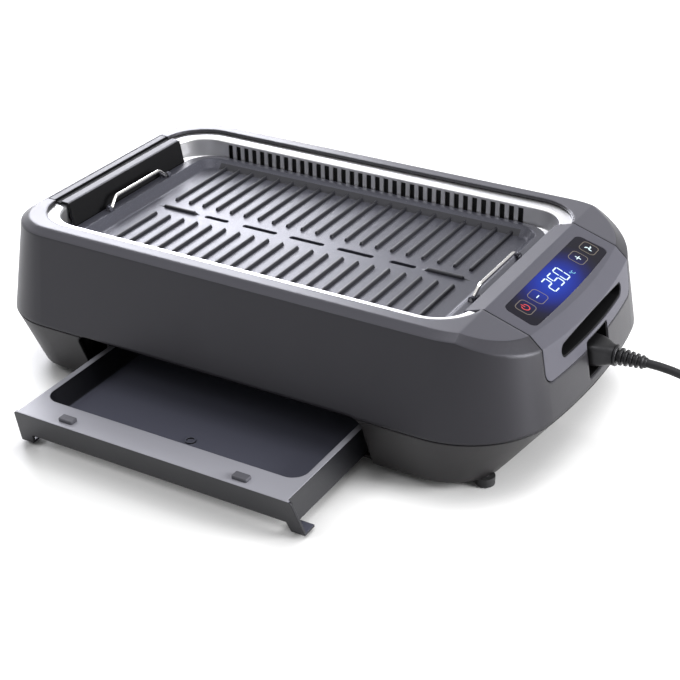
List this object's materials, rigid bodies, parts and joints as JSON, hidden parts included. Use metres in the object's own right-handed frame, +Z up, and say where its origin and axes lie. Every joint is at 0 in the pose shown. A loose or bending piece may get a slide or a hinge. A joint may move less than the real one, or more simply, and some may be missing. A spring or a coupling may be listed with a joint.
{
  "type": "smokeless electric grill",
  "caption": "Electric table grill with ribbed lift-out plate, bright steel well, sloping touch panel, drip tray pulled out at the front, built-in blower and a detachable mains cord.",
  "frame": {"origin": "on the floor under the middle of the bounding box of the grill with its tray pulled out, the mains cord left out", "axes": "+X from the blank end to the control panel, +Y from the tray side to the back, +Z up"},
  "size_m": [0.9163, 0.4044, 0.1472],
  "materials": {
    "housing": "satin moulded black with a fine grain",
    "base_plastic": "satin moulded black",
    "bright_steel": "polished stainless sheet",
    "cover_grey": "satin grey plastic",
    "cover_light": "satin light grey plastic",
    "dark_trim": "matt black heat-proof plastic",
    "screen_glass": "polished black glass with lit symbols",
    "nonstick": "dark non-stick coating on cast aluminium",
    "wire": "polished stainless wire",
    "tray": "satin dark heat-proof plastic",
    "rubber_black": "matt rubber",
    "cord_sheath": "smooth flexible sheath",
    "plug_body": "moulded flexible plastic",
    "pin_metal": "nickel-plated",
    "zinc_steel": "zinc-plated",
    "element_steel": "heat-darkened sheath",
    "bare_aluminium": "plain aluminised sheet",
    "insulator": "glazed white ceramic",
    "board_green": "printed circuit board",
    "component_mix": "moulded electronic components",
    "fan_plastic": "moulded plastic"
  },
  "bodies": {
    "base": {"upper_housing": "housing", "lower_housing": "base_plastic", "feet": "rubber_black", "housing_screws": "zinc_steel", "steel_liner": "bright_steel", "left_end_cover": "cover_light", "left_inner_wall": "dark_trim", "control_panel_cover": "cover_grey", "display_glass": "screen_glass", "lcd_module": "component_mix", "touch_board": "board_green", "cover_screws": "zinc_steel", "grip_lining_right": "dark_trim", "grip_lining_left": "dark_trim", "inlet_socket": "dark_trim", "inlet_pins": "pin_metal", "heating_element": "element_steel", "element_brackets": "zinc_steel", "reflector_pan": "bare_aluminium", "terminal_block": "insulator", "thermal_cutoff": "zinc_steel", "temperature_probe": "zinc_steel", "tray_rails": "fan_plastic", "drawer_frame": "dark_trim", "fan_housing": "fan_plastic", "fan_motor": "zinc_steel", "air_duct": "fan_plastic", "power_board": "board_green", "board_parts": "component_mix", "board_screws": "zinc_steel", "wiring": "cord_sheath"},
    "plate": {"grill_plate": "nonstick"},
    "handle_left": {"plate_handle_left": "wire"},
    "handle_right": {"plate_handle_right": "wire"},
    "tray": {"drip_tray": "tray", "tray_buffers": "rubber_black"},
    "blower_wheel": {"impeller": "fan_plastic"},
    "cord": {"connector": "plug_body", "strain_relief": "plug_body", "cord_lead": "cord_sheath", "cord_coil": "cord_sheath", "cord_tail": "cord_sheath", "plug_relief": "plug_body", "mains_plug": "plug_body", "plug_pins": "pin_metal"}
  },
  "joints": [
    {"name": "tray_slide", "type": "slide", "parent": "base", "child": "tray", "axis": [0, -1, 0], "range_m": [-0.1025, 0.045]},
    {"name": "plate_lift", "type": "slide", "parent": "base", "child": "plate", "axis": [0, 0, 1], "range_m": [0, 0.07]},
    {"name": "handle_left_fold", "type": "hinge", "parent": "plate", "child": "handle_left", "pos_m": [-0.2025, 0.04686, 0.12815], "axis": [0, 1, 0], "range_deg": [0, 95]},
    {"name": "handle_right_fold", "type": "hinge", "parent": "plate", "child": "handle_right", "pos_m": [0.1625, 0.04686, 0.12815], "axis": [0, -1, 0], "range_deg": [0, 95]},
    {"name": "fan_spin", "type": "hinge", "parent": "base", "child": "blower_wheel", "pos_m": [0.156, 0.10486, 0.025], "axis": [0, 0, 1], "continuous": true},
    {"name": "connector_pull", "type": "slide", "parent": "base", "child": "cord", "axis": [1, 0, 0], "range_m": [0, 0.03]}
  ]
}
